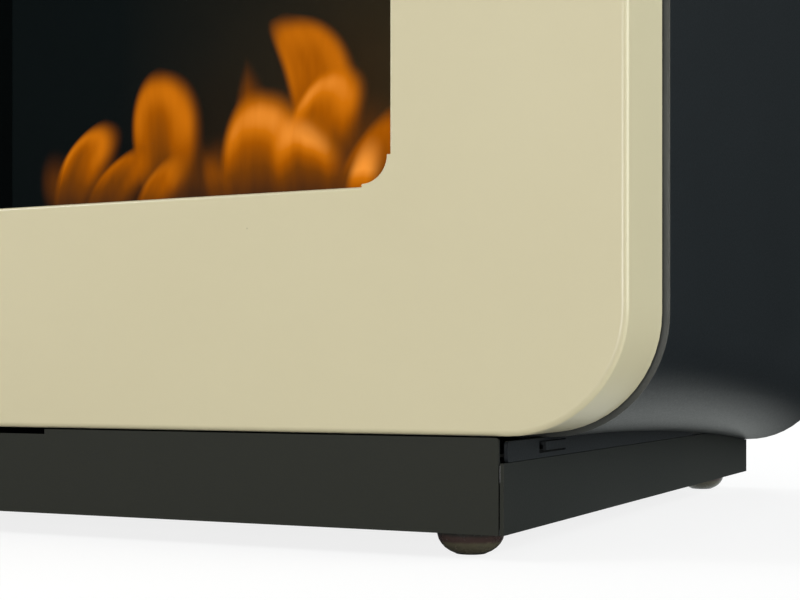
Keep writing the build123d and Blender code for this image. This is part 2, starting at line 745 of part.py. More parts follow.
for side, side_name in sides:
    outer_start = half_plinth - plinth_sheet if side > 0 else -half_plinth
    with BuildPart() as plinth_side:
        with BuildSketch(Plane.YZ.offset(outer_start)):
            with BuildLine():
                bend = (side_bend_y, side_top)
                tail = (side_tail_y, underside(side_tail_y) - rail_seam)
                heel = (rear_y, underside(rear_y) - rail_seam)
                ThreePointArc(bend, tail, heel)
                Polyline(heel, (rear_y, foot_height), (front_y, foot_height), (front_y, side_top), bend)
            make_face()
        extrude(amount=plinth_sheet)
        with BuildSketch(Plane.XY.offset(foot_height)):
            with Locations((side * leg_middle_x, 0)):
                Rectangle(plinth_flange, -2 * flange_front_y)
        extrude(amount=plinth_sheet)
        with BuildSketch(Plane.XY.offset(side_top - plinth_sheet)):
            with Locations((side * leg_middle_x, (upper_flange_start_y + rail_leg_end_y) / 2)):
                Rectangle(plinth_flange, rail_leg_end_y - upper_flange_start_y)
        extrude(amount=plinth_sheet)
    write(plinth_side, f"plinth_side_{side_name}")

    # The body's base rail: an upright edge under the casing, cut to its sweep,
    # on a level leg that rests on the plinth's upper flange.
    with BuildPart() as body_rail:
        with BuildSketch(Plane.YZ.offset(outer_start)) as upright:
            with BuildLine():
                front_top = (rail_front_y, casing_bottom)
                sweep_start = (casing_front_y, casing_bottom)
                sweep_middle_y = (casing_front_y + rail_end_y) / 2
                sweep_end = (rail_end_y, underside(rail_end_y))
                Line(front_top, sweep_start)
                ThreePointArc(sweep_start, (sweep_middle_y, underside(sweep_middle_y)), sweep_end)
                Polyline(sweep_end, (rail_end_y, rail_bottom), (rail_front_y, rail_bottom), front_top)
            make_face()
            fillet(upright.vertices().group_by(Axis.X)[0], rail_corner)
            with Locations((hook_slot_y + hook_slot_length / 2, hook_slot_z + hook_slot_height / 2)):
                Rectangle(hook_slot_length, hook_slot_height, mode=Mode.SUBTRACT)
        extrude(amount=plinth_sheet)
        with BuildSketch(Plane.XY.offset(side_top)):
            with Locations((side * leg_middle_x, (upper_flange_start_y + rail_leg_end_y) / 2)):
                Rectangle(plinth_flange, rail_leg_end_y - upper_flange_start_y)
        extrude(amount=plinth_sheet)
    write(body_rail, f"body_rail_{side_name}")

# Hooks under the casing's front edge, passed out through the rails' slots and
# turned down over them.
hook_top = hook_slot_z + hook_slot_height - rail_seam
hook_middle_y = hook_slot_y + hook_slot_length / 2
hook_outer_x = half_plinth + rail_seam + hook_sheet
hook_inner_x = half_plinth + rail_seam - hook_reach
with BuildPart() as casing_hooks:
    with BuildSketch(depth_plane(hook_middle_y - hook_length / 2)):
        with BuildLine():
            Polyline(
                (hook_inner_x, casing_bottom),
                (hook_inner_x + hook_sheet, casing_bottom),
                (hook_inner_x + hook_sheet, hook_top),
                (hook_outer_x, hook_top),
                (hook_outer_x, hook_top - hook_lip_height),
                (hook_outer_x - hook_sheet, hook_top - hook_lip_height),
                (hook_outer_x - hook_sheet, hook_top - hook_sheet),
                (hook_inner_x, hook_top - hook_sheet),
                close=True,
            )
        make_face()
    extrude(amount=-hook_length)
    add(casing_form(0, casing_front_y), mode=Mode.SUBTRACT)
    mirror(about=Plane.YZ)
write(casing_hooks, "casing_hooks")

# ================================================================ feet
# A bracket closes each corner of the plinth and takes the foot's stem.
bracket_middle_x = half_plinth - plinth_sheet - bracket_length / 2
bracket_middle_y = rear_y - plinth_sheet - bracket_length / 2
bracket_tab_height = underside(rear_y) - foot_height - bracket_sheet - bracket_clearance
stem_hole = foot_stem_width + 2 * foot_stem_clearance
with BuildPart() as foot_brackets:
    with BuildSketch(Plane.XY.offset(foot_height)):
        with Locations((bracket_middle_x, bracket_middle_y)):
            Rectangle(bracket_length, bracket_length)
        with Locations((foot_x, foot_y)):
            Rectangle(stem_hole, stem_hole, mode=Mode.SUBTRACT)
    extrude(amount=bracket_sheet)
    with BuildSketch(Plane.XY.offset(foot_height + bracket_sheet)):
        with Locations((bracket_middle_x, rear_y - plinth_sheet - bracket_sheet / 2)):
            Rectangle(bracket_tab_length, bracket_sheet)
        with Locations((half_plinth - plinth_sheet - bracket_sheet / 2, bracket_middle_y)):
            Rectangle(bracket_sheet, bracket_tab_length)
    extrude(amount=bracket_tab_height)
    mirror(about=Plane.XZ)
    mirror(about=Plane.YZ)
write(foot_brackets, "foot_brackets")


def foot_form():
    """One foot in three tapers, with its square push-in stem, standing at the origin."""
    with BuildPart() as form:
        with BuildSketch(Plane.XZ):
            with BuildLine():
                Polyline(
                    (0, 0),
                    (foot_flat_diameter / 2, 0),
                    (foot_toe_diameter / 2, foot_toe_height),
                    (foot_waist_diameter / 2, foot_waist_height),
                    (foot_diameter / 2, foot_height),
                    (0, foot_height),
                    close=True,
                )
            make_face()
        revolve(axis=Axis.Z)
        with BuildSketch(Plane.XY.offset(foot_height)):
            Rectangle(foot_stem_width, foot_stem_width)
        extrude(amount=foot_stem_length)
    return form.part


with BuildPart() as feet:
    with GridLocations(2 * foot_x, 2 * foot_y, 2, 2):
        add(foot_form())
write(feet, "feet")
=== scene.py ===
import logging
import math
from dataclasses import dataclass
from enum import Enum

import bpy
import numpy as np
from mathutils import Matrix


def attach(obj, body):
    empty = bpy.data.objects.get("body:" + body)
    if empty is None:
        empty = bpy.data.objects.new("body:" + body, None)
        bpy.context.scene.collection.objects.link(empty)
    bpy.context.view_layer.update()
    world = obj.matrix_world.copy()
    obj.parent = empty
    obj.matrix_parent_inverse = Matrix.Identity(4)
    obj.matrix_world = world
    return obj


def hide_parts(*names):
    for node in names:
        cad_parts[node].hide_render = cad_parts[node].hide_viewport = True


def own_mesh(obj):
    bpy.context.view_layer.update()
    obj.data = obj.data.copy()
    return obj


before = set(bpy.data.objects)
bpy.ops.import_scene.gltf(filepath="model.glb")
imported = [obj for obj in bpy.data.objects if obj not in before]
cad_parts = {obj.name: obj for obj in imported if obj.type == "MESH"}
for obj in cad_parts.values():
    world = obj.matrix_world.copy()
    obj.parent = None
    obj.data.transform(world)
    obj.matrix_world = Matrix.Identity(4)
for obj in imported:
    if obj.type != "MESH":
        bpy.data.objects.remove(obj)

log = logging.getLogger("fireplace")

Colour = tuple[float, float, float, float]
Pair = tuple[float, float]
Triple = tuple[float, float, float]

MM = 0.001
X, Y, Z = range(3)
WHITE = (1.0, 1.0, 1.0, 1.0)
NOISE_SPAN = (0.3, 0.7)  # where most values of a noise lie


# ------------------------------------------------------------------ shader maths
class Signal:
    """A shader socket used as a number, colour or vector in a Python expression."""

    def __init__(self, tree: "ShaderTree", socket: bpy.types.NodeSocket) -> None:
        """Keep the tree and the output socket that holds the value."""
        self.tree = tree
        self.socket = socket

    def _math(self, operation: str, first: "Signal | float", second: "Signal | float") -> "Signal":
        """Add one Math node.

        Args:
            operation: the node's operation.
            first: its first value.
            second: its second value.

        Returns:
            The node's result.
        """
        return self.tree.add("ShaderNodeMath", {"operation": operation}, {0: first, 1: second})

    def __add__(self, other: "Signal | float") -> "Signal":
        """Sum."""
        return self._math("ADD", self, other)

    def __sub__(self, other: "Signal | float") -> "Signal":
        """Difference."""
        return self._math("SUBTRACT", self, other)

    def __rsub__(self, other: float) -> "Signal":
        """Difference, reflected."""
        return self._math("SUBTRACT", other, self)

    def __mul__(self, other: "Signal | float") -> "Signal":
        """Product."""
        return self._math("MULTIPLY", self, other)

    def __truediv__(self, other: "Signal | float") -> "Signal":
        """Quotient."""
        return self._math("DIVIDE", self, other)

    def __abs__(self) -> "Signal":
        """Size without its sign."""
        return self._math("ABSOLUTE", self, 0.0)

    def between(self, low: float, high: float, to_low: float = 0.0, to_high: float = 1.0) -> "Signal":
        """Run evenly from one value to another.

        Args:
            low: input at which the result is to_low.
            high: input at which the result is to_high.
            to_low: result below low.
            to_high: result above high.

        Returns:
            The value, held at its limits outside the range.
        """
        settings = {"interpolation_type": "LINEAR", "clamp": True}
        sockets = {0: self, 1: low, 2: high, 3: to_low, 4: to_high}
        return self.tree.add("ShaderNodeMapRange", settings, sockets)


class ShaderTree:
    """A material's node tree, with one Principled shader at its end."""

    def __init__(self, name: str) -> None:
        """Start a material with an empty tree."""
        self.material = bpy.data.materials.new(name)
        self.material.use_nodes = True
        self.nodes = self.material.node_tree.nodes
        self.links = self.material.node_tree.links
        self.nodes.clear()
        self.shader = self.nodes.new("ShaderNodeBsdfPrincipled")
        self.output = self.nodes.new("ShaderNodeOutputMaterial")
        self.links.new(self.shader.outputs[0], self.output.inputs[0])

    def add(self, kind: str, settings: dict, sockets: dict, out: int | str = 0) -> Signal:
        """Add any node.

        Args:
            kind: the node's type.
            settings: its properties, set first. "stops" holds a ramp's (place, colour) pairs.
            sockets: its inputs by name or number, each a Signal or a value.
            out: the output that is wanted, by name or number.

        Returns:
            That output.
        """
        made = self.nodes.new(kind)
        for key, value in settings.items():
            if key == "stops":
                self._place_stops(made.color_ramp, value)
            else:
                setattr(made, key, value)
        for key, value in sockets.items():
            if isinstance(value, Signal):
                self.links.new(value.socket, made.inputs[key])
            else:
                made.inputs[key].default_value = value
        return Signal(self, made.outputs[out])

    def _place_stops(self, ramp: bpy.types.ColorRamp, stops: tuple) -> None:
        """Give a colour ramp its stops, in order."""
        while len(ramp.elements) < len(stops):
            ramp.elements.new(1.0)
        for element, (place, colour) in zip(ramp.elements, stops):
            element.position = place
            element.color = colour

    def place(self) -> Signal:
        """Point on the piece in its own coordinates, in metres."""
        return self.add("ShaderNodeTexCoord", {}, {}, out="Object")

    def stretched(self, x: float, y: float, z: float) -> Signal:
        """The point on the piece with each axis scaled."""
        return self.add("ShaderNodeMapping", {}, {"Vector": self.place(), "Scale": (x, y, z)})

    def axis(self, number: int) -> Signal:
        """One coordinate of the point on the piece: X, Y or Z."""
        return self.add("ShaderNodeSeparateXYZ", {}, {0: self.place()}, out=number)

    def measure(self, name: str) -> Signal:
        """A number stored at each point of the piece."""
        return self.add("ShaderNodeAttribute", {"attribute_name": name}, {}, out="Fac")

    def noise(self, vector: Signal, scale: float, detail: float = 2.0, rough: float = 0.5) -> Signal:
        """Cloudy noise from 0 to 1, with so many cells a metre."""
        sockets = {"Vector": vector, "Scale": scale, "Detail": detail, "Roughness": rough}
        return self.add("ShaderNodeTexNoise", {}, sockets)

    def cells(self, vector: Signal, scale: float, out: str = "Distance") -> Signal:
        """Cell pattern: the distance to a cell's middle, or with out "Color" a colour per cell."""
        return self.add("ShaderNodeTexVoronoi", {}, {"Vector": vector, "Scale": scale}, out=out)

    def mix(self, factor: Signal | float, first: Signal | Colour, second: Signal | Colour) -> Signal:
        """Blend two colours by a factor.

        The Mix node has sockets of one name for each kind of data, so its
        colour sockets are given by number.
        """
        sockets = {0: factor, 6: first, 7: second}
        return self.add("ShaderNodeMix", {"data_type": "RGBA"}, sockets, out=2)

    def bump(self, height: Signal, strength: float, distance: float) -> Signal:
        """Normal of a surface with this relief, whose depth is the distance in metres."""
        sockets = {"Height": height, "Strength": strength, "Distance": distance}
        return self.add("ShaderNodeBump", {}, sockets)

    def set(self, **sockets: "Signal | float | Colour") -> None:
        """Fill the Principled shader's sockets, named with _ for a space."""
        for key, value in sockets.items():
            target = self.shader.inputs[key.replace("_", " ")]
            if isinstance(value, Signal):
                self.links.new(value.socket, target)
            else:
                target.default_value = value


# ------------------------------------------------------------------ finishes
@dataclass(frozen=True)
class Lacquer:
    """Satin stoved lacquer with a faint unevenness and a few specks of dust.

    Here and in the finishes below, cells are counted per metre, depths are in
    metres and relief is how strongly a depth shows.
    """

    name: str
    colour: Colour
    shade: Colour
    rough: Pair = (0.33, 0.4)
    rough_cells: float = 14.0
    shine: float = 0.45
    coat: float = 0.2
    coat_rough: float = 0.22
    cloud_cells: float = 5.0
    dust: Colour = (0.2, 0.17, 0.1, 1.0)
    dust_cells: float = 60.0
    dust_radius: Pair = (0.012, 0.022)
    dust_share: float = 0.4
    peel_cells: Pair = (260.0, 900.0)
    peel_depth: float = 0.0004
    coarse_share: float = 0.7
    relief: float = 0.05

    def build(self) -> bpy.types.Material:
        """Make the material."""
        tree = ShaderTree(self.name)
        cloud = tree.noise(tree.place(), self.cloud_cells, 3.0)
        colour = tree.mix(cloud.between(*NOISE_SPAN), self.colour, self.shade)
        speck = tree.cells(tree.place(), self.dust_cells).between(*self.dust_radius, 1.0, 0.0)
        colour = tree.mix(speck * self.dust_share, colour, self.dust)
        coarse, fine = (tree.noise(tree.place(), cells) for cells in self.peel_cells)
        rough = tree.noise(tree.place(), self.rough_cells).between(0.2, 0.8, *self.rough)
        tree.set(Base_Color=colour, Roughness=rough)
        peel = coarse * self.coarse_share + fine * (1 - self.coarse_share)
        tree.set(Normal=tree.bump(peel, self.relief, self.peel_depth))
        tree.set(Coat_Weight=self.coat, Coat_Roughness=self.coat_rough, Specular_IOR_Level=self.shine)
        return tree.material


@dataclass(frozen=True)
class PowderCoat:
    """Dark powder coat: a fine pebbled texture with slightly shinier tops."""

    name: str
    colour: Colour
    tint: Colour
    # edge: a paler colour in front of edge_y, painted light on the front-facing edge and face
    edge: Colour
    edge_y: float
    edge_fade: Pair = (0.0002, 0.0005)
    rough: float = 0.36
    rough_swing: float = 0.05
    shine: float = 0.4
    grain_cells: float = 1100.0
    grain_depth: float = 0.00012
    relief: float = 0.3
    cloud_cells: float = 9.0
    cloud_share: float = 0.6

    def build(self) -> bpy.types.Material:
        """Make the material: in front of edge_y the colour is paler, painted light on the front-facing
        edge and face.
        """
        tree = ShaderTree(self.name)
        pebble = tree.noise(tree.place(), self.grain_cells, 3.0, 0.6)
        cloud = tree.noise(tree.place(), self.cloud_cells, 3.0)
        mixed = cloud * self.cloud_share + pebble * (1 - self.cloud_share)
        colour = tree.mix(mixed.between(*NOISE_SPAN), self.colour, self.tint)
        # painted light: a paler colour on whatever lies in front of edge_y
        start, end = (self.edge_y + depth for depth in self.edge_fade)
        colour = tree.mix(tree.axis(Y).between(start, end, 1.0, 0.0), colour, self.edge)
        rough = pebble.between(*NOISE_SPAN, self.rough + self.rough_swing, self.rough - self.rough_swing)
        tree.set(Base_Color=colour, Roughness=rough, Specular_IOR_Level=self.shine)
        tree.set(Normal=tree.bump(pebble, self.relief, self.grain_depth))
        return tree.material


@dataclass(frozen=True)
class HeatBlack:
    """Matt heat-resistant paint, with a painted warm glow of the flames' light around one place.

    Attributes:
        name: the material's name.
        colour: the paint where it stays cool.
        painted_flame_light: painted light, the warm glow of the flames where it is brightest.
        spot_x: x where that painted glow is brightest.
        spot_fade: distances from it along X between which the painted glow fades out.
        rise: heights between which the painted glow falls to the least share.
        least: that share.
    """

    name: str
    colour: Colour
    painted_flame_light: Colour
    spot_x: float = 0.1
    spot_fade: Pair = (0.03, 0.2)
    rise: Pair = (0.17, 0.3)
    least: float = 0.3
    mottle_cells: float = 30.0
    rough: Pair = (0.65, 0.8)
    rough_cells: float = 40.0
    shine: float = 0.08
    grain_cells: float = 1500.0
    grain_depth: float = 0.0001
    relief: float = 0.25

    def build(self) -> bpy.types.Material:
        """Make the material."""
        tree = ShaderTree(self.name)
        low = tree.axis(Z).between(*self.rise, 1.0, self.least)
        spot = abs(tree.axis(X) - self.spot_x).between(*self.spot_fade, 1.0, 0.0)
        mottle = tree.noise(tree.place(), self.mottle_cells, 4.0, 0.6).between(0.25, 0.75, 0.75, 1.0)
        # painted light: a warm glow of the flames, mottled, strongest low down near spot_x
        colour = tree.mix(mottle * spot * low, self.colour, self.painted_flame_light)
        grain = tree.noise(tree.place(), self.grain_cells)
        rough = tree.noise(tree.place(), self.rough_cells).between(*NOISE_SPAN, *self.rough)
        tree.set(Base_Color=colour, Roughness=rough, Specular_IOR_Level=self.shine)
        tree.set(Normal=tree.bump(grain, self.relief, self.grain_depth))
        return tree.material


@dataclass(frozen=True)
class Galvanised:
    """Zinc-coated sheet with spangle: cells that differ in shade and shine."""

    name: str
    light: Colour
    dark: Colour
    rough: Pair = (0.32, 0.5)
    spangle_cells: float = 130.0
    warp_cells: float = 60.0
    warp_depth: float = 0.0004
    shade_share: float = 0.7
    relief: float = 0.08

    def build(self) -> bpy.types.Material:
        """Make the material."""
        tree = ShaderTree(self.name)
        warp = tree.noise(tree.place(), self.warp_cells)
        spangle = tree.cells(tree.place(), self.spangle_cells, out="Color")
        shade = tree.add("ShaderNodeSeparateColor", {}, {0: spangle})
        mixed = shade * self.shade_share + warp * (1 - self.shade_share)
        colour = tree.mix(mixed.between(0.1, 0.9), self.dark, self.light)
        tree.set(Base_Color=colour, Metallic=0.9, Roughness=shade.between(0.0, 1.0, *self.rough))
        tree.set(Normal=tree.bump(warp, self.relief, self.warp_depth))
        return tree.material


@dataclass(frozen=True)
class BrushedSteel:
    """Steel brushed along X, with a straw tint from heat near the slot."""

    name: str
    colour: Colour
    tint: Colour
    slot_y: float = 0.004
    heat_fade: Pair = (0.015, 0.05)
    heat_share: float = 0.75
    heat_cells: float = 20.0
    rough: Pair = (0.26, 0.46)
    line_cells: Triple = (18.0, 1800.0, 1800.0)
    line_depth: float = 0.0001
    relief: float = 0.12

    def build(self) -> bpy.types.Material:
        """Make the material."""
        tree = ShaderTree(self.name)
        lines = tree.noise(tree.stretched(*self.line_cells), 1.0, 3.0, 0.6)
        warm = abs(tree.axis(Y) - self.slot_y).between(*self.heat_fade, self.heat_share, 0.0)
        patchy = warm * tree.noise(tree.place(), self.heat_cells)
        colour = tree.mix(patchy, self.colour, self.tint)
        tree.set(Base_Color=colour, Metallic=1.0, Roughness=lines.between(0.2, 0.8, *self.rough))
        tree.set(Normal=tree.bump(lines, self.relief, self.line_depth))
        return tree.material


@dataclass(frozen=True)
class Fibre:
    """Pressed ceramic fibre, pale and woolly."""

    name: str
    colour: Colour
    shade: Colour
    flatness: float = 4.0
    tuft_cells: float = 220.0
    tuft_depth: float = 0.0015
    relief: float = 0.7
    rough: float = 0.95
    shine: float = 0.1

    def build(self) -> bpy.types.Material:
        """Make the material."""
        tree = ShaderTree(self.name)
        tuft = tree.noise(tree.stretched(1.0, 1.0, self.flatness), self.tuft_cells, 5.0, 0.7)
        tree.set(Base_Color=tree.mix(tuft, self.shade, self.colour), Roughness=self.rough)
        tree.set(Normal=tree.bump(tuft, self.relief, self.tuft_depth), Specular_IOR_Level=self.shine)
        return tree.material


@dataclass(frozen=True)
class FootPlastic:
    """Dark moulded plastic: towards its sole a painted tan reflection, with a thin reddish band above.
    """

    name: str
    # sole: a painted reflection, tan, on the lower half of the foot
    sole: Colour
    band: Colour
    rim: Colour
    height: float = 0.0083
    rough: Pair = (0.2, 0.3)
    shine: float = 0.35
    coat: float = 0.1
    swirl_cells: float = 350.0
    swirl_depth: float = 0.0002
    swirl_share: float = 0.3
    relief: float = 0.05
    waver: float = 0.12

    def build(self) -> bpy.types.Material:
        """Make the material: its bands lie by height and waver a little."""
        tree = ShaderTree(self.name)
        swirl = tree.noise(tree.place(), self.swirl_cells, 3.0)
        level = tree.axis(Z) / self.height + swirl * self.waver - self.waver / 2
        # the sole's tan over the lower half is a painted reflection
        stops = (
            (0.0, self.rim),
            (0.12, self.sole),
            (0.46, self.sole),
            (0.56, self.band),
            (0.72, self.band),
            (0.84, self.rim),
        )
        colour = tree.add("ShaderNodeValToRGB", {"stops": stops}, {0: level})
        colour = tree.mix(swirl * self.swirl_share, colour, self.rim)
        tree.set(Base_Color=colour, Roughness=swirl.between(*NOISE_SPAN, *self.rough))
        tree.set(Coat_Weight=self.coat, Specular_IOR_Level=self.shine)
        tree.set(Normal=tree.bump(swirl, self.relief, self.swirl_depth))
        return tree.material


@dataclass(frozen=True)
class Blackened:
    """Oil-blackened steel, rubbed brighter in patches."""

    name: str
    colour: Colour
    worn: Colour
    rough: Pair = (0.5, 0.3)
    rub_cells: float = 500.0
    rub_depth: float = 0.0001
    rub_start: Pair = (0.5, 0.75)
    relief: float = 0.1

    def build(self) -> bpy.types.Material:
        """Make the material."""
        tree = ShaderTree(self.name)
        rub = tree.noise(tree.place(), self.rub_cells, 3.0).between(*self.rub_start)
        tree.set(Base_Color=tree.mix(rub, self.colour, self.worn), Metallic=1.0)
        tree.set(Roughness=rub.between(0.0, 1.0, *self.rough))
        tree.set(Normal=tree.bump(rub, self.relief, self.rub_depth))
        return tree.material


@dataclass(frozen=True)
class FlameGlow:
    """Soft burning gas: its heat and its veil come from the piece's own measures."""

    name: str
    stops: tuple
    wisp_cells: Triple = (150.0, 150.0, 30.0)
    waver: float = 0.12

    def build(self) -> bpy.types.Material:
        """Make the material."""
        tree = ShaderTree(self.name)
        wisp = tree.noise(tree.stretched(*self.wisp_cells), 1.0)
        heat = tree.measure("glow") + wisp * self.waver - self.waver / 2
        light = tree.add("ShaderNodeValToRGB", {"stops": self.stops}, {0: heat})
        tree.set(Base_Color=(0.0, 0.0, 0.0, 1.0), Roughness=1.0, Specular_IOR_Level=0.0)
        tree.set(Emission_Color=light, Emission_Strength=1.0, Alpha=tree.measure("veil"))
        return tree.material


FLAME_STOPS = (
    (0.0, (0.012, 0.009, 0.01, 1.0)),
    (0.2, (0.06, 0.021, 0.007, 1.0)),
    (0.4, (0.17, 0.045, 0.003, 1.0)),
    (0.6, (0.38, 0.092, 0.001, 1.0)),
    (0.8, (0.64, 0.172, 0.004, 1.0)),
    (1.0, (0.95, 0.32, 0.04, 1.0)),
)


class Dress(Enum):
    """The finishes that this object wears."""

    CREAM = Lacquer("cream_lacquer", (0.63, 0.565, 0.37, 1.0), (0.605, 0.54, 0.35, 1.0))
    CASING = PowderCoat(
        "casing_paint",
        (0.0102, 0.0142, 0.0168, 1.0),
        (0.0078, 0.0115, 0.0136, 1.0),
        # edge: painted highlight, a paler front-facing rim of the casing
        edge=(0.075, 0.077, 0.07, 1.0),
        edge_y=-0.1308,
    )
    RAIL = PowderCoat(
        "rail_paint",
        (0.014, 0.0165, 0.0185, 1.0),
        (0.0105, 0.013, 0.015, 1.0),
        # edge: painted highlight on the front ends of the rails
        edge=(0.04, 0.041, 0.038, 1.0),
        edge_y=-0.1725,
        rough=0.5,
        shine=0.2,
    )
    PLINTH = PowderCoat(
        "plinth_paint",
        (0.0235, 0.025, 0.0225, 1.0),
        (0.019, 0.0212, 0.0198, 1.0),
        # edge: painted light, the plinth's front face paler than its sides
        edge=(0.029, 0.03, 0.0245, 1.0),
        edge_y=-0.1725,
        rough=0.6,
        shine=0.06,
    )
    # the second colour is a painted warm glow of the flames' light, low on the right
    FIREBOX = HeatBlack("firebox_black", (0.0075, 0.0125, 0.0132, 1.0), (0.072, 0.05, 0.019, 1.0))
    ZINC = Galvanised("inner_sheet", (0.5, 0.51, 0.52, 1.0), (0.34, 0.35, 0.37, 1.0))
    STEEL = BrushedSteel("burner_steel", (0.55, 0.55, 0.54, 1.0), (0.5, 0.33, 0.14, 1.0))
    WOOL = Fibre("wool", (0.74, 0.72, 0.68, 1.0), (0.5, 0.48, 0.44, 1.0))
    FOOT = FootPlastic(
        "foot_rubber",
        # sole: painted reflection, tan, on the lower half of each foot
        sole=(0.1, 0.088, 0.055, 1.0),
        band=(0.06, 0.036, 0.031, 1.0),
        rim=(0.032, 0.031, 0.027, 1.0),
    )
    SCREW = Blackened("screw_steel", (0.06, 0.06, 0.062, 1.0), (0.2, 0.2, 0.2, 1.0))
    FLAME = FlameGlow("flame", FLAME_STOPS)


# ------------------------------------------------------------------ meshes
def grid_faces(rows: int, columns: int, closed: bool = False, offset: int = 0) -> np.ndarray:
    """Quads of a grid whose points are stored row by row.

    Args:
        rows: number of points up.
        columns: number of points across.
        closed: True joins the last column to the first.
        offset: number of the first point.

    Returns:
        One row of four point numbers for each quad.
    """
    across = np.arange(columns if closed else columns - 1)
    beside = (across + 1) % columns
    base = np.arange(rows - 1)[:, None] * columns + offset
    corners = (base + across, base + beside, base + columns + beside, base + columns + across)
    return np.stack([corner.ravel() for corner in corners], axis=1)


def surface(name: str, points: np.ndarray, faces: list) -> bpy.types.Object:
    """Put computed points and faces into a new smooth object at the origin.

    Args:
        name: the piece's name.
        points: an array of points, in metres.
        faces: lists of point numbers.

    Returns:
        The new object.
    """
    mesh = bpy.data.meshes.new(name)
    mesh.from_pydata(points.tolist(), [], faces)
    mesh.update()
    mesh.shade_smooth()
    made = bpy.data.objects.new(name, mesh)
    bpy.context.scene.collection.objects.link(made)
    return made


def eased(value: np.ndarray) -> np.ndarray:
    """Smooth step: 0 below 0, 1 above 1, and 3 v squared less 2 v cubed between."""
    held = np.clip(value, 0.0, 1.0)
    return held * held * (3.0 - 2.0 * held)


# ------------------------------------------------------------------ sub-assemblies
@dataclass
class SubAssembly:
    """A group of CAD nodes with one finish each."""

    title: str
    coats: dict[str, Dress]

    def dress(self, materials: dict[Dress, bpy.types.Material]) -> None:
        """Give each CAD node its material.

        Args:
            materials: the finished material of each dress.
        """
        for node, dress in self.coats.items():
            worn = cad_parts[node].data.materials
            worn.clear()
            worn.append(materials[dress])
            log.info("%s: %s wears %s", self.title, node, dress.name)


class FrontFrame(SubAssembly):
    """The cream frame and what fixes it to the casing."""

    def __init__(self) -> None:
        """Name its nodes and their finishes."""
        super().__init__(
            "front frame",
            {"front_frame": Dress.CREAM, "frame_brackets": Dress.ZINC, "frame_screws": Dress.SCREW},
        )


class Casing(SubAssembly):
    """The dark wrapped casing with its front and rear plates."""

    def __init__(self) -> None:
        """Name its nodes and their finishes."""
        dark = ("casing_shell", "front_bulkhead", "rear_panel")
        coats = {node: Dress.CASING for node in dark}
        coats.update({"casing_hooks": Dress.RAIL, "rear_panel_screws": Dress.SCREW})
        super().__init__("casing", coats)


class Firebox(SubAssembly):
    """The black box round the fire, with the sheets that carry and shield it."""

    def __init__(self) -> None:
        """Name its nodes and their finishes."""
        black = (
            "firebox_back",
            "firebox_side_left",
            "firebox_side_right",
            "firebox_top",
            "hearth_plate",
        )
        zinc = (
            "firebox_collar",
            "heat_shield",
            "spill_tray",
            "support_channel_left",
            "support_channel_right",
            "top_deflector",
        )
        coats = {node: Dress.FIREBOX for node in black}
        coats.update({node: Dress.ZINC for node in zinc})
        super().__init__("firebox", coats)


@dataclass(frozen=True)
class FootForm:
    """Sizes of a round foot, in millimetres.

    Attributes:
        heights: heights up its dome, from the sole to the plinth.
        radii: the dome's radius at each of those heights.
        stem_top: height of the stem's top.
        stem_half: half the stem's width.
        stand_x: how far each foot stands from the body's middle along X.
        stand_y: how far it stands from there along Y.
        around: number of points around the foot.
        crease: an edge that turns by more than this many degrees stays sharp.
    """

    heights: tuple[float, ...] = (0.0, 0.25, 0.9, 2.0, 3.3, 4.8, 6.4, 7.6, 8.3)
    radii: tuple[float, ...] = (5.0, 5.4, 6.9, 8.55, 9.75, 10.65, 11.1, 11.35, 11.45)
    stem_top: float = 17.3
    stem_half: float = 3.0
    stand_x: float = 191.0
    stand_y: float = 153.5
    around: int = 64
    crease: float = 50.0


class Plinth(SubAssembly):
    """The recessed plinth, its rails and its feet."""

    def __init__(self) -> None:
        """Name its nodes, their finishes and the sizes of its feet."""
        panels = ("plinth_front", "plinth_rear", "plinth_side_left", "plinth_side_right")
        coats = {node: Dress.PLINTH for node in panels}
        coats.update({"body_rail_left": Dress.RAIL, "body_rail_right": Dress.RAIL})
        coats.update({"foot_brackets": Dress.ZINC, "feet": Dress.FOOT})
        super().__init__("plinth", coats)
        self.foot = FootForm()

    def foot_points(self) -> np.ndarray:
        """Points of one foot, a profile turned about Z, with a square stem on top.

        A point at row r and turn a stands at radius(r) times cos a and sin a.
        On the stem's two rows the radius is the stem's half width divided by
        the larger of cos a and sin a without their signs, which is a square.
        The stem's lower row lies level with the dome's top.

        Returns:
            The points in millimetres, row by row from the sole to the stem's top.
        """
        form = self.foot
        turn = np.linspace(0.0, 2 * math.pi, form.around, endpoint=False)
        even = np.ones_like(turn)
        square = form.stem_half / np.maximum(np.abs(np.cos(turn)), np.abs(np.sin(turn)))
        radius = np.concatenate([np.outer(form.radii, even), [square, square]])
        height = np.outer((*form.heights, form.heights[-1], form.stem_top), even)
        return np.stack([radius * np.cos(turn), radius * np.sin(turn), height], axis=-1)

    def make_feet(self, material: bpy.types.Material) -> None:
        """Make the four smooth feet that stand for the plain ones.

        Args:
            material: the feet's finish.
        """
        form = self.foot
        one = self.foot_points()
        rows, columns = one.shape[:2]
        points = []
        faces: list = []
        for side_x in (-1, 1):
            for side_y in (-1, 1):
                start = len(points) * rows * columns
                points.append(one + np.array([side_x * form.stand_x, side_y * form.stand_y, 0.0]))
                faces += grid_faces(rows, columns, True, start).tolist()
                sole = range(start, start + columns)
                stem_end = range(start + (rows - 1) * columns, start + rows * columns)
                faces += [list(reversed(sole)), list(stem_end)]
        made = surface("moulded_feet", np.concatenate(points).reshape(-1, 3) * MM, faces)
        made.data.materials.append(material)
        made.data.set_sharp_from_angle(angle=math.radians(form.crease))
        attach(made, "fireplace")
        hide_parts("feet")
        log.info("plinth: moulded feet")


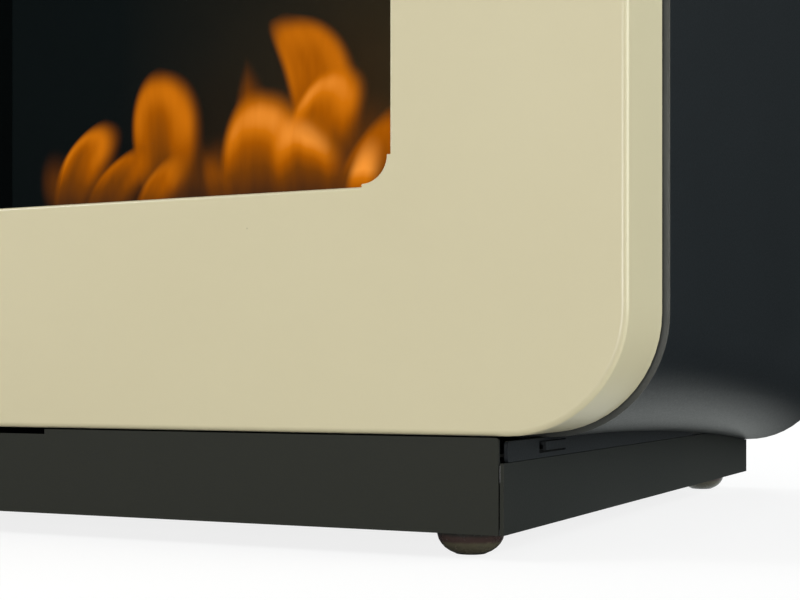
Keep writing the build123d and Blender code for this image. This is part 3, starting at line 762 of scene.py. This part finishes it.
@dataclass(frozen=True)
class Tongue:
    """One flame: a curved petal that rises from the slot. Sizes are in millimetres.

    Attributes:
        name: what the flame is called.
        y: its depth in the slot.
        foot: x where it leaves the slot.
        low: x and z that its lower part is pulled to.
        bend: x and z that its upper part is pulled to.
        tip: x and z of its tip.
        half: half its width at the belly.
        belly: height share at which it is widest.
        neck: share of that width at the foot.
        blunt: 2 for a round tip, more for a blunt one and less for a pointed one.
        rim: heat of its bright rim.
        core: heat of its middle.
        lit: -1 where the left rim is brighter, 1 where the right one is, 0 for both alike.
        veil: how dense it is, from 0 to 1.
        soft: share of its half width over which it fades out.
    """

    name: str
    y: float
    foot: float
    low: Pair
    bend: Pair
    tip: Pair
    half: float
    belly: float = 0.6
    neck: float = 0.45
    blunt: float = 2.0
    rim: float = 0.7
    core: float = 0.35
    lit: float = 0.0
    veil: float = 0.95
    soft: float = 0.48


TONGUES = (
    Tongue("haze_left", 18, -80, (-84, 140), (-86, 160), (-86, 176), 32,
           belly=0.4, neck=0.9, rim=0.3, core=0.3, veil=0.75, soft=0.9),
    Tongue("haze_middle", 17, -24, (-24, 140), (-24, 160), (-24, 178), 34,
           belly=0.4, neck=0.9, rim=0.32, core=0.32, veil=0.8, soft=0.9),
    Tongue("haze_right", 18, 56, (54, 140), (54, 170), (54, 196), 52,
           belly=0.4, neck=0.9, blunt=2.2, rim=0.34, core=0.34, veil=0.8, soft=0.8),
    Tongue("far_left", 12, -97, (-103, 139), (-110, 156), (-111, 176), 19,
           belly=0.55, rim=0.42, core=0.42, veil=0.6, soft=1.0),
    Tongue("left_lobe", 10, -101, (-106, 143), (-98, 167), (-77, 188), 18,
           belly=0.7, rim=0.78, core=0.54),
    Tongue("left_low", 0, -78, (-77, 139), (-67, 157), (-45, 173), 18,
           belly=0.62, rim=0.62, core=0.48, lit=-0.3),
    Tongue("tall_round", 9, -40, (-41, 140), (-48, 177), (-44, 211), 22.5,
           belly=0.7, neck=0.36, blunt=2.3, rim=0.76, core=0.54, lit=0.5, soft=0.36),
    Tongue("left_bright", -3, -50, (-47, 135), (-39, 150), (-23, 168), 14,
           belly=0.66, rim=0.72, core=0.6, lit=0.2, soft=0.7),
    Tongue("between", 12, -16, (-14, 140), (-12, 158), (-11, 178), 13,
           belly=0.5, rim=0.42, core=0.38, veil=0.5, soft=0.9),
    Tongue("between_low", 0, 2, (-1, 137), (-5, 150), (-13, 171), 10,
           belly=0.5, rim=0.56, core=0.46, veil=0.6, soft=0.8),
    Tongue("pointed", 17, 8, (5, 152), (3, 185), (1.5, 215), 18,
           belly=0.5, neck=0.6, blunt=1.25, rim=0.44, core=0.4, veil=0.9, soft=0.6),
    Tongue("big_dome", 7, 8, (8, 139), (11, 170), (15, 197), 26,
           belly=0.55, neck=0.8, blunt=2.5, rim=0.9, core=0.56, lit=0.6, soft=0.38),
    Tongue("centre_dome", -3, 50, (46, 139), (42, 164), (36, 186), 24,
           belly=0.45, neck=0.95, rim=0.98, core=0.56, lit=0.8, soft=0.55),
    Tongue("tallest", 14, 46, (41, 158), (53, 195), (24, 232), 21,
           belly=0.74, neck=0.75, blunt=3.6, rim=0.72, core=0.6, lit=0.4, soft=0.38),
    Tongue("fold", 9, 38, (34, 162), (46, 184), (57, 205), 21,
           belly=0.62, neck=0.6, blunt=2.2, rim=0.88, core=0.62, lit=-0.3, soft=0.42),
    Tongue("right_lobe", -1, 64, (67, 137), (78, 158), (94, 183), 19,
           neck=0.6, rim=0.6, core=0.52, lit=-0.2),
    Tongue("right_core", -8, 73, (73, 141), (78, 154), (83, 168), 10,
           belly=0.5, neck=0.9, rim=1.2, core=1.2, veil=1.0, soft=0.8),
    Tongue("right_end", 10, 98, (101, 139), (103, 155), (102, 172), 9,
           belly=0.55, rim=0.42, core=0.34, veil=0.6, soft=0.8),
)


class Burner(SubAssembly):
    """The burner with its lid, and the flames that stand in its slot.

    Attributes:
        base_z: height in millimetres at which every flame starts.
        rows: number of points up a flame.
        columns: number of points across it.
        curl: how far its outline stands behind its spine, in half widths.
        foot_fade: height share over which it fades in from the slot.
        ring: reach at which the bright rim lies, and how wide the rim is.
        ring_rise: height share at which the rim starts, and over which it grows.
        lean: how much more the rim glows on the side that is lit.
        foot_heat: share of its heat that a flame has at its foot.
        heat_rise: height share over which it reaches its full heat.
        broad: heat of its broad streaks, and their waves in radians per half width.
        fine: the same of its fine streaks.
        twist: how far the fine ones lean over its height, in radians.
    """

    base_z = 118.6
    rows = 56
    columns = 41
    curl = 0.4
    foot_fade = 0.18
    ring = (0.6, 0.28)
    ring_rise = (0.3, 0.45)
    lean = 0.4
    foot_heat = 0.22
    heat_rise = 0.6
    broad = (0.025, 7)
    fine = (0.01, 17)
    twist = 2

    def __init__(self) -> None:
        """Name its nodes and their finishes."""
        steel = (
            "burner_tank",
            "burner_top_plate",
            "lid_guides",
            "regulator_lid",
            "lid_eyelet",
            "wool_mesh",
        )
        coats = {node: Dress.STEEL for node in steel}
        coats["ceramic_wool"] = Dress.WOOL
        super().__init__("burner", coats)

    def tongue_mesh(self, tongue: Tongue) -> bpy.types.Object:
        """Make one flame, a sheet bent into half a pipe along a curved spine.

        The spine at share s up is the cubic Bezier curve from the foot to the
        tip, pulled by low and bend. The half width grows from the neck's share
        to the full half at the belly, and past it is multiplied by the p-th
        root of 1 less u to the p, where u runs from 0 at the belly to 1 at the
        tip and p is the bluntness. A point at share t across, from -1 to 1,
        stands t half widths along X from the spine, and behind it by the
        curl's share of a half width times t squared. The reach r, the p-th
        root of |t| to the p (1 less u to the p) plus u to the p, is 1 on the
        outline, and below the belly it is 0 on the spine. The veil fades over
        the soft share before r is 1 and over the foot. The heat is the core's
        and in the upper part the rim's where r is near the ring's, less on
        the side that isn't lit, with lengthwise streaks. It is lower towards
        the foot.

        Args:
            tongue: the flame's sizes.

        Returns:
            The flame's object, with its heat and veil stored at each point.
        """
        s = np.linspace(0.0, 1.0, self.rows)[:, None]
        t = np.linspace(-1.0, 1.0, self.columns)[None, :]
        knots = np.array([(tongue.foot, self.base_z), tongue.low, tongue.bend, tongue.tip])
        rest = 1 - s
        shares = np.concatenate([rest**3, 3 * s * rest**2, 3 * s**2 * rest, s**3], axis=1)
        spine = shares @ knots
        p = tongue.blunt
        u = np.clip((s - tongue.belly) / (1 - tongue.belly), 0.0, 1.0)
        grow = tongue.neck + (1 - tongue.neck) * eased(s / tongue.belly)
        half = tongue.half * grow * (1 - u**p) ** (1 / p)
        reach = (np.abs(t) ** p * (1 - u**p) + u**p) ** (1 / p)
        x = spine[:, :1] + half * t
        y = tongue.y + self.curl * half * t**2
        z = spine[:, 1:] + 0 * t
        made = surface(
            f"flame_{tongue.name}",
            np.stack([x, y, z], axis=-1).reshape(-1, 3) * MM,
            grid_faces(self.rows, self.columns).tolist(),
        )
        veil = tongue.veil * eased((1 - reach) / tongue.soft) * eased(s / self.foot_fade)
        middle, width = self.ring
        start, growth = self.ring_rise
        glow = np.exp(-(((reach - middle) / width) ** 2)) * (1 + self.lean * tongue.lit * t)
        glow = glow * eased((s - start) / growth)
        broad_heat, broad_wave = self.broad
        fine_heat, fine_wave = self.fine
        broad = broad_heat * np.sin(broad_wave * t + tongue.foot)
        fine = fine_heat * np.sin(fine_wave * t + self.twist * s + tongue.tip[0])
        heat = tongue.core + (tongue.rim - tongue.core) * glow + (broad + fine) * (1 - u)
        warmed = eased((s - self.foot_fade) / self.heat_rise)
        heat = heat * (self.foot_heat + (1 - self.foot_heat) * warmed)
        for label, values in (("glow", heat), ("veil", veil)):
            attribute = made.data.attributes.new(label, "FLOAT", "POINT")
            held = np.clip(values, 0.0, 1.0).astype(np.float32)
            attribute.data.foreach_set("value", held.ravel())
        return made

    def light_up(self, material: bpy.types.Material) -> None:
        """Make every flame, with no shadow of its own, and hang it on the burner's body.

        Args:
            material: the burning finish.
        """
        for tongue in TONGUES:
            made = self.tongue_mesh(tongue)
            made.data.materials.append(material)
            made.visible_shadow = False
            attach(made, "burner")
            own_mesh(made)
            log.info("burner: flame %s", tongue.name)


# ------------------------------------------------------------------ studio
@dataclass(frozen=True)
class Lamp:
    """A square soft lamp.

    Attributes:
        name: what the lamp is called.
        place: where it hangs, in metres.
        aim: the point that it is turned to.
        size: its side, in metres.
        power: its power, in watts.
        colour: the colour of its light.
    """

    name: str
    place: Triple
    aim: Triple
    size: float
    power: float
    colour: Triple = (1.0, 1.0, 1.0)


@dataclass(frozen=True)
class FloorPatch:
    """A rectangle on the floor whose edges fade, each between two places in metres."""

    left: Pair
    right: Pair
    front: Pair
    rear: Pair

    def mask(self, tree: ShaderTree) -> Signal:
        """1 inside the rectangle and 0 outside it."""
        across = tree.axis(X).between(*self.left) * tree.axis(X).between(*self.right, 1.0, 0.0)
        along = tree.axis(Y).between(*self.front) * tree.axis(Y).between(*self.rear, 1.0, 0.0)
        return across * along


@dataclass(frozen=True)
class Studio:
    """The camera, the pale floor, the world and the soft lamps.

    Attributes:
        camera_at: where the camera stands, in metres.
        turn: how far it is turned to the left, in degrees.
        lens: its focal length in millimetres.
        shift: how far its picture is shifted up, in picture widths.
        floor_half: half the floor's side.
        floor_tints: the floor's two shades.
        floor_glow: strength of the white that the camera sees on the floor.
        glow_reach: distances from the middle between which that white takes over.
        glow_share: its share at each of them.
        in_shade: the floor under the body, which has none of it.
        mirrored_floor: the floor's dim and bright colour in reflections.
        bright_floor: where the bright one lies.
        world_tint: colour of the even light on the object.
        world_level: its strength.
        mirrored_level: its strength in reflections.
        lamps: the lamps.
    """

    camera_at: Triple = (0.3814, -0.6089, 0.0593)
    turn: float = 25.4
    lens: float = 67.365
    shift: float = 0.09125
    floor_half: float = 6.0
    floor_tints: tuple[Colour, Colour] = ((0.64, 0.64, 0.63, 1.0), (0.66, 0.66, 0.65, 1.0))
    floor_glow: float = 1.15
    glow_reach: Pair = (0.9, 2.2)
    glow_share: Pair = (0.72, 1.0)
    in_shade: FloorPatch = FloorPatch((-0.175, -0.165), (0.165, 0.175), (-0.09, -0.08), (0.14, 0.15))
    mirrored_floor: tuple[Colour, Colour] = ((0.03, 0.032, 0.034, 1.0), (0.68, 0.72, 0.7, 1.0))
    bright_floor: FloorPatch = FloorPatch((0.12, 0.18), (0.21, 0.29), (-0.14, -0.06), (0.2, 0.32))
    world_tint: Colour = (0.92, 0.97, 1.0, 1.0)
    world_level: float = 0.37
    mirrored_level: float = 0.016
    lamps: tuple[Lamp, ...] = (
        Lamp("front", (0.5, -1.9, 0.25), (0.1, -0.15, 0.1), 0.5, 12.5),
        Lamp("edge", (-1.45, -1.2, 1.5), (0.0, -0.17, 0.15), 0.6, 18.5),
        Lamp("right", (2.3, 0.35, 0.7), (0.25, 0.0, 0.15), 1.9, 46.0, (0.95, 1.0, 1.0)),
        Lamp("left", (-2.2, 0.1, 1.0), (-0.25, 0.0, 0.2), 1.4, 24.0),
        Lamp("back", (-1.0, 2.2, 1.1), (0.0, 0.15, 0.2), 1.4, 16.0),
        Lamp("top", (-0.3, 0.4, 2.4), (0.0, 0.0, 0.2), 1.4, 11.0),
    )

    def set_camera(self) -> None:
        """Stand the camera where the photograph was taken."""
        data = bpy.data.cameras.new("camera")
        data.lens = self.lens
        data.sensor_width = 36.0
        data.shift_y = self.shift
        data.clip_start = 0.01
        made = bpy.data.objects.new("camera", data)
        made.location = self.camera_at
        made.rotation_euler = (math.pi / 2, 0.0, math.radians(self.turn))
        bpy.context.scene.collection.objects.link(made)
        bpy.context.scene.camera = made

    def set_floor(self) -> None:
        """Lay a pale floor that looks white to the camera and keeps the object's shadow.

        Far away it is plain white, and under the body it stays in shadow. In
        reflections it is dim, with a soft bright patch beside and behind the
        object.
        """
        signs = np.array([[-1, -1, 0], [1, -1, 0], [1, 1, 0], [-1, 1, 0]])
        floor = surface("floor", signs * self.floor_half, [[0, 1, 2, 3]])
        tree = ShaderTree("floor_white")
        seen = tree.add("ShaderNodeLightPath", {}, {}, out="Is Camera Ray")
        mirrored = tree.add("ShaderNodeLightPath", {}, {}, out="Is Glossy Ray")
        cloud = tree.noise(tree.place(), 2.0)
        tree.set(Base_Color=tree.mix(cloud, *self.floor_tints), Roughness=0.9)
        glow = tree.add("ShaderNodeEmission", {}, {"Color": WHITE, "Strength": self.floor_glow})
        reflected = tree.mix(self.bright_floor.mask(tree), *self.mirrored_floor)
        sheen = tree.add("ShaderNodeEmission", {}, {"Color": reflected})
        plain = Signal(tree, tree.shader.outputs[0])
        length = {"operation": "LENGTH"}
        away = tree.add("ShaderNodeVectorMath", length, {0: tree.place()}, out="Value")
        lit = seen * away.between(*self.glow_reach, *self.glow_share)
        lit = lit * (1.0 - self.in_shade.mask(tree))
        blend = tree.add("ShaderNodeMixShader", {}, {0: lit, 1: plain, 2: glow})
        blend = tree.add("ShaderNodeMixShader", {}, {0: mirrored, 1: blend, 2: sheen})
        tree.links.new(blend.socket, tree.output.inputs[0])
        floor.data.materials.append(tree.material)

    def set_world(self) -> None:
        """White behind everything, and a low even light on the object."""
        world = bpy.data.worlds.new("studio")
        bpy.context.scene.world = world
        world.use_nodes = True
        nodes = world.node_tree.nodes
        links = world.node_tree.links
        nodes.clear()
        path = nodes.new("ShaderNodeLightPath")
        soft = nodes.new("ShaderNodeBackground")
        soft.inputs[0].default_value = self.world_tint
        level = nodes.new("ShaderNodeMath")
        level.operation = "MULTIPLY_ADD"
        level.inputs[1].default_value = self.mirrored_level - self.world_level
        level.inputs[2].default_value = self.world_level
        links.new(path.outputs["Is Glossy Ray"], level.inputs[0])
        links.new(level.outputs[0], soft.inputs[1])
        white = nodes.new("ShaderNodeBackground")
        white.inputs[0].default_value = WHITE
        blend = nodes.new("ShaderNodeMixShader")
        out = nodes.new("ShaderNodeOutputWorld")
        links.new(path.outputs["Is Camera Ray"], blend.inputs[0])
        links.new(soft.outputs[0], blend.inputs[1])
        links.new(white.outputs[0], blend.inputs[2])
        links.new(blend.outputs[0], out.inputs[0])

    def hang(self, lamp: Lamp) -> None:
        """Hang one soft lamp, turned towards its aim."""
        data = bpy.data.lights.new(lamp.name, "AREA")
        data.size = lamp.size
        data.energy = lamp.power
        data.color = lamp.colour
        made = bpy.data.objects.new(lamp.name, data)
        made.location = lamp.place
        towards = np.array(lamp.aim) - np.array(lamp.place)
        flat = math.hypot(towards[0], towards[1])
        pitch = math.pi / 2 + math.atan2(towards[2], flat)
        made.rotation_euler = (pitch, 0.0, math.atan2(towards[1], towards[0]) - math.pi / 2)
        bpy.context.scene.collection.objects.link(made)

    def build(self) -> None:
        """Set the whole studio."""
        self.set_camera()
        self.set_floor()
        self.set_world()
        for lamp in self.lamps:
            self.hang(lamp)
        bpy.context.scene.view_settings.view_transform = "Standard"


# ------------------------------------------------------------------ the object
def main() -> None:
    """Dress the CAD nodes, and add the feet, the flames and the studio."""
    logging.basicConfig(level=logging.INFO, format="%(name)s %(message)s")
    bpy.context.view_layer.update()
    materials = {dress: dress.value.build() for dress in Dress}
    plinth = Plinth()
    burner = Burner()
    for part in (FrontFrame(), Casing(), Firebox(), plinth, burner):
        part.dress(materials)
    plinth.make_feet(materials[Dress.FOOT])
    burner.light_up(materials[Dress.FLAME])
    Studio().build()


if __name__ == "__main__":
    main()
